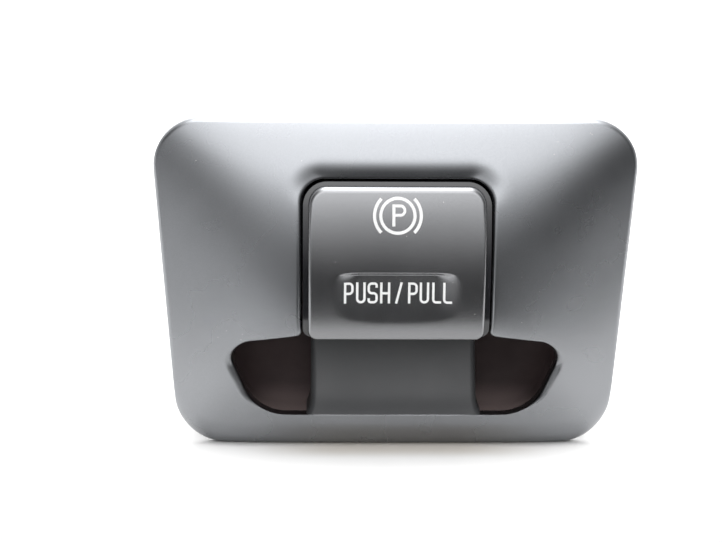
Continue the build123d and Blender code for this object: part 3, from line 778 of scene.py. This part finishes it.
def build_cap():
    hw, top, bot, rt, rb = 16.2, 19.15, -9.3, 3.2, 1.7
    zs = [top - rt * (1 - math.cos(a)) for a in np.linspace(0, math.pi / 2, 22)][:-1]
    body = list(np.arange(top - rt, bot + rb, -0.20))
    fine = list(np.arange(DISH_TOP + 0.10, DISH_TOP - 0.90, -0.05))
    body = sorted(set([round(z, 4) for z in body if not DISH_TOP - 0.95 < z < DISH_TOP + 0.15]
                      + [round(z, 4) for z in fine]), reverse=True)
    low = [bot + rb * (1 - math.cos(a)) for a in np.linspace(math.pi / 2, 0, 16)][1:]
    zs = zs + body + low
    us = np.linspace(-1, 1, 181)
    loop, _ = fillet_loop([(hw, top, rt), (hw, bot, rb), (-hw, bot, rb), (-hw, top, rt)], 0.1)
    verts = []
    rows = []
    for z in zs:
        w = hw
        if z > top - rt:
            w = hw - rt + math.sqrt(max(0, rt ** 2 - (z - (top - rt)) ** 2))
        if z < bot + rb:
            w = hw - rb + math.sqrt(max(0, rb ** 2 - (z - (bot + rb)) ** 2))
        rows.append(np.c_[us * w, np.full(len(us), z)])
    grid = np.vstack(rows)
    d = loop_distance(grid, loop)
    re = 0.45 + 0.45 * soft_step(10.0, 18.5, grid[:, 1])
    a = np.clip(1 - d / re, 0, 1)
    y = cap_surface(grid[:, 0], grid[:, 1]) + re * (1 - np.sqrt(1 - a * a))
    verts = [(x, yy, z) for (x, z), yy in zip(grid, y)]
    n, m = len(us), len(zs)
    faces = []
    for r in range(m - 1):
        for i in range(n - 1):
            faces.append((r * n + i, r * n + i + 1, (r + 1) * n + i + 1, (r + 1) * n + i))
    # skirt back to the body
    edge = [i for i in range(n)] + [r * n + n - 1 for r in range(1, m)] + [
        (m - 1) * n + i for i in range(n - 2, -1, -1)] + [r * n for r in range(m - 2, 0, -1)]
    base = len(verts)
    for e in edge:
        x, _, z = verts[e]
        verts.append((x, face_y(np.array(z)) + 1.5, z))
    k = len(edge)
    for i in range(k):
        j = (i + 1) % k
        faces.append((edge[i], edge[j], base + j, base + i))
    back = len(verts)
    # back face as a fan of rows
    verts += [(x, float(face_y(np.array(z))) + 1.5, z) for x, z in grid]
    for r in range(m - 1):
        for i in range(n - 1):
            faces.append((back + r * n + i, back + (r + 1) * n + i,
                          back + (r + 1) * n + i + 1, back + r * n + i + 1))
    ob = mesh_object("knob_face", verts, faces)
    bm = bmesh.new()
    bm.from_mesh(ob.data)
    bmesh.ops.remove_doubles(bm, verts=bm.verts, dist=2e-6)
    bmesh.ops.recalc_face_normals(bm, faces=bm.faces)
    bm.to_mesh(ob.data)
    bm.free()
    for p in ob.data.polygons:
        p.use_smooth = True
    return ob


cap = build_cap()
cap.data.materials.append(PAINT_KNOB)
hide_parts("knob_cap")
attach(cap, "knob")


# -------------------------------------------------- symbol and legend inlay
def ribbon(points, width, closed=False, steps=None):
    """Flat ribbon along a path in (x, z), on the cap's surface."""
    p = np.array(points, float)
    if closed:
        t = np.roll(p, -1, axis=0) - np.roll(p, 1, axis=0)
    else:
        t = np.gradient(p, axis=0)
    t /= np.linalg.norm(t, axis=1)[:, None]
    n = np.c_[-t[:, 1], t[:, 0]] * width / 2
    return p + n, p - n


def arc(cx, cz, r, a0, a1, n=24):
    return [(cx + r * math.cos(math.radians(a)), cz + r * math.sin(math.radians(a)))
            for a in np.linspace(a0, a1, n)]


def fine_path(pts, step=0.12):
    out = []
    for a, b in zip(pts[:-1], pts[1:]):
        k = max(1, int(math.dist(a, b) / step))
        out += [(a[0] + (b[0] - a[0]) * i / k, a[1] + (b[1] - a[1]) * i / k)
                for i in range(k)]
    return out + [pts[-1]]


def rounded_path(pts, r, n=8):
    """Open polyline with rounded inner corners."""
    out = [pts[0]]
    for i in range(1, len(pts) - 1):
        p = np.array(pts[i], float)
        a = np.array(pts[i - 1], float) - p
        b = np.array(pts[i + 1], float) - p
        la, lb = np.linalg.norm(a), np.linalg.norm(b)
        a, b = a / la, b / lb
        ang = math.acos(np.clip(a @ b, -1, 1))
        rr = min(r, la * 0.49 * math.tan(ang / 2), lb * 0.49 * math.tan(ang / 2))
        t = rr / math.tan(ang / 2)
        c = p + (a + b) / np.linalg.norm(a + b) * rr / math.sin(ang / 2)
        s, e = p + a * t - c, p + b * t - c
        turn = math.atan2(s[0] * e[1] - s[1] * e[0], s @ e)
        a0 = math.atan2(s[1], s[0])
        out += [(c[0] + rr * math.cos(a0 + turn * j / n), c[1] + rr * math.sin(a0 + turn * j / n))
                for j in range(n + 1)]
    return out + [pts[-1]]


def inlay(name, strips, proud=0.03, depth=0.25):
    verts, faces = [], []
    for pts, width, closed in strips:
        l, r = ribbon(pts, width, closed)
        n = len(l)
        base = len(verts)
        for dy in (-proud, depth):
            for side in (l, r):
                y = cap_surface(side[:, 0], side[:, 1]) + dy
                verts += [(x, yy, z) for (x, z), yy in zip(side, y)]
        m = n if closed else n - 1
        for i in range(m):
            j = (i + 1) % n
            faces.append((base + i, base + j, base + n + j, base + n + i))
            faces.append((base + 2 * n + i, base + 3 * n + i, base + 3 * n + j, base + 2 * n + j))
            faces.append((base + i, base + 2 * n + i, base + 2 * n + j, base + j))
            faces.append((base + n + i, base + n + j, base + 3 * n + j, base + 3 * n + i))
        if not closed:
            for i in (0, n - 1):
                faces.append((base + i, base + n + i, base + 3 * n + i, base + 2 * n + i))
    ob = mesh_object(name, verts, faces, smooth=False)
    outward(ob)
    ob.data.materials.append(WHITE)
    return ob


cz = SYMBOL_Z
sym = [(arc(0, cz, 3.10, 0, 360, 121)[:-1], 0.56, True),
       (arc(0, cz, 4.235, -45, 45, 40), 0.57, False),
       (arc(0, cz, 4.235, 135, 225, 40), 0.57, False)]
px = -0.73
sym.append((fine_path([(px, cz - 1.88), (px, cz + 2.01)]), 0.54, False))
bowl = rounded_path([(px, cz + 1.75), (1.26, cz + 1.75), (1.26, cz + 0.10),
                     (px, cz + 0.10)], 0.80, 14)
sym.append((fine_path(bowl), 0.50, False))
symbol = inlay("symbol_strokes", sym)
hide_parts("symbol_lens")
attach(symbol, "knob")

CAPH, STR, LZ = 3.93, 0.43, -2.05
hb = STR / 2


def glyph(ch, x, w):
    l, r, b, t = x + hb, x + w - hb, LZ + hb, LZ + CAPH - hb
    mid = LZ + CAPH * 0.485
    if ch == "P":
        return [[(l, LZ), (l, LZ + CAPH)],
                rounded_path([(l, t), (r, t), (r, mid - 0.1), (l, mid - 0.1)], 0.62)]
    if ch == "U":
        return [rounded_path([(l, LZ + CAPH), (l, b), (r, b), (r, LZ + CAPH)], 0.66)]
    if ch == "S":
        return [rounded_path([(r, t - 0.75), (r, t), (l, t), (l, mid), (r, mid), (r, b),
                              (l, b), (l, b + 0.75)], 0.58)]
    if ch == "H":
        return [[(l, LZ), (l, LZ + CAPH)], [(r, LZ), (r, LZ + CAPH)], [(l, mid), (r, mid)]]
    if ch == "L":
        return [rounded_path([(l, LZ + CAPH), (l, b), (x + w, b)], 0.55)]
    return [[(x + hb, LZ - 0.02), (x + w - hb, LZ + CAPH + 0.02)]]


leg = []
for ch, x, w in (("P", -9.70, 1.76), ("U", -7.49, 1.76), ("S", -5.38, 1.87),
                 ("H", -3.09, 1.85), ("/", -0.36, 1.41), ("P", 2.02, 1.76),
                 ("U", 4.14, 1.74), ("L", 6.42, 1.66), ("L", 8.42, 1.66)):
    for path in glyph(ch, x, w):
        leg.append((fine_path(path), STR, False))
legend = inlay("legend_strokes", leg)
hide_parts("legend_inlay")
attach(legend, "knob")

# ------------------------------------------------------------ lights, floor
FLOOR_Z = PLATE_BOT * MM


def plane(name, size, loc, rot, mat):
    me = bpy.data.meshes.new(name)
    s = size / 2
    me.from_pydata([(-s, -s, 0), (s, -s, 0), (s, s, 0), (-s, s, 0)], [], [(0, 1, 2, 3)])
    ob = bpy.data.objects.new(name, me)
    ob.location, ob.rotation_euler = loc, rot
    ob.data.materials.append(mat)
    bpy.context.collection.objects.link(ob)
    return ob


def stage_material(name, colour, emit, rough=0.9):
    m, t, b = nodes_of(name)
    n = noise(t, 3.0, 2.0)
    t.links.new(ramp(t, n, [(0.3, tuple(c * 0.97 for c in colour[:3]) + (1,)), (0.7, colour)]),
                b.inputs["Base Color"])
    b.inputs["Roughness"].default_value = rough
    b.inputs["Emission Color"].default_value = (1, 1, 1, 1)
    b.inputs["Emission Strength"].default_value = emit
    return m


FRONT_EDGE = -0.050


def floor_material():
    m, t, b = nodes_of("floor_white")
    n = noise(t, 40.0, 3.0)
    white = ramp(t, n, [(0.3, (0.815, 0.81, 0.80, 1)), (0.7, (0.845, 0.84, 0.83, 1))])
    tc = t.nodes.new("ShaderNodeTexCoord")
    sp = t.nodes.new("ShaderNodeSeparateXYZ")
    t.links.new(tc.outputs["Object"], sp.inputs[0])
    # painted contact shadow: the floor's colour is darkened to a warm grey in a band along the
    # object's bottom edge, centred slightly right of the middle and fading out to the sides
    near = math_node(t, "MULTIPLY", smooth_range(t, sp.outputs[1], -0.0115, -0.0055),
                     smooth_range(t, sp.outputs[1], -0.002, 0.006, 1.0, 0.0))
    off = math_node(t, "ABSOLUTE", math_node(t, "SUBTRACT", sp.outputs[0], 0.0015))
    near = math_node(t, "MULTIPLY", near, smooth_range(t, off, 0.010, 0.032, 1.0, 0.0))
    t.links.new(mix_color(t, near, white, (0.66, 0.625, 0.575, 1)), b.inputs["Base Color"])
    b.inputs["Roughness"].default_value = 0.9
    b.inputs["Specular IOR Level"].default_value = 0.1
    return m


def floor_sheet():
    me = bpy.data.meshes.new("floor")
    me.from_pydata([(-1.6, FRONT_EDGE, 0), (1.6, FRONT_EDGE, 0), (1.6, 2.4, 0), (-1.6, 2.4, 0)],
                   [], [(0, 1, 2, 3)])
    ob = bpy.data.objects.new("floor", me)
    ob.location = (0, 0, FLOOR_Z)
    ob.data.materials.append(floor_material())
    bpy.context.collection.objects.link(ob)


floor_sheet()

# The light tent: bright overhead, white table level, a quieter zone in front,
# where the tent is open.
world = bpy.data.worlds.new("world")
scene.world = world
world.use_nodes = True
wt = world.node_tree
wt.nodes.clear()
wo = wt.nodes.new("ShaderNodeOutputWorld")
bg = wt.nodes.new("ShaderNodeBackground")
wt.links.new(bg.outputs[0], wo.inputs[0])
tc = wt.nodes.new("ShaderNodeTexCoord")
sep = wt.nodes.new("ShaderNodeSeparateXYZ")
wt.links.new(tc.outputs["Generated"], sep.inputs[0])
WX, WY, WZ = sep.outputs


def wm(op, a, b=None):
    return math_node(wt, op, a, b)


# overhead: brightest at the top, down to nothing a little below the horizon,
# narrower the higher it is, and a little weaker straight in front
TOP_STEPS = [(-0.25, 0.0), (-0.16, 0.08), (-0.08, 0.36), (0.0, 0.72), (0.06, 0.96),
             (0.13, 1.30), (0.21, 1.76), (0.28, 2.16), (0.36, 2.62), (0.45, 3.15),
             (0.52, 3.50), (0.61, 3.75), (0.70, 3.80), (0.84, 3.85), (0.91, 4.6),
             (0.95, 7.6), (1.0, 9.4)]
height = smooth_range(wt, WZ, -0.25, 1.0, 0.0, 1.0, "LINEAR")
curve = ramp(wt, height, [((z + 0.25) / 1.25, grey(v / 10.0)) for z, v in TOP_STEPS])
ax = wm("ABSOLUTE", wm("SUBTRACT", WX, 0.025))
width = wm("MAXIMUM", wm("ADD", wm("MULTIPLY", WZ, -0.20), 0.40), 0.24)
spread = wm("DIVIDE", 1.0, wm("ADD", wm("POWER", wm("DIVIDE", ax, width), 3.4), 1.0))
dip = wm("MULTIPLY", smooth_range(wt, wm("ABSOLUTE", wm("SUBTRACT", WX, 0.04)), 0.08, 0.17, 0.25, 0.0),
         smooth_range(wt, WZ, 0.22, 0.36, 1.0, 0.0))
weak = wm("MULTIPLY", smooth_range(wt, WX, 0.05, 0.14, 0.0, 0.10),
          smooth_range(wt, WZ, 0.50, 0.74, 1.0, 0.0))
top = wm("MULTIPLY", wm("MULTIPLY", curve, 10.0),
         wm("MULTIPLY", spread, wm("SUBTRACT", wm("SUBTRACT", 1.0, dip), weak)))
# the sides: a wall on the left, less on the right
left = wm("MULTIPLY", smooth_range(wt, WX, -0.32, -0.02, 0.46, 0.0),
          smooth_range(wt, WZ, 0.10, 0.55, 1.0, 0.0))
right = smooth_range(wt, WX, 0.10, 0.45, 0.0, 0.12)
# the table level, seen past the sheet's front edge
off = wm("SUBTRACT", WX, 0.10)
bell = wm("EXPONENT", wm("MULTIPLY", wm("MULTIPLY", off, off), -6.57))
onset = wm("ADD", wm("ADD", WZ, 0.265), wm("MULTIPLY", bell, 0.33))
low = wm("MULTIPLY", smooth_range(wt, onset, -0.065, 0.025, 1.0, 0.0), 1.5)
left = wm("MULTIPLY", left, smooth_range(wt, WZ, -0.45, -0.20, 0.55, 1.0))
low = wm("ADD", low, wm("ADD", left, right))
rear = smooth_range(wt, WY, -0.35, 0.30, 0.0, 1.05)
level = wm("ADD", wm("ADD", top, 0.03), wm("MAXIMUM", low, rear))
bg.inputs["Color"].default_value = (0.985, 0.99, 1.0, 1)
wt.links.new(level, bg.inputs["Strength"])

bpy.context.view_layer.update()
# a copy of each coil spring with its own mesh, fixed to the housing in the spring node's place
for spring, travel in (("pull_springs", 0.0004), ("push_springs", 0.00075)):
    node = next(o for o in bpy.data.objects if o.name == spring)
    coil = bpy.data.objects.new(spring + "_coils", node.data.copy())
    coil.matrix_world = node.matrix_world.copy()
    bpy.context.collection.objects.link(coil)
    bpy.context.view_layer.update()
    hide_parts(spring)
    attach(coil, "housing")
    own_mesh(coil)
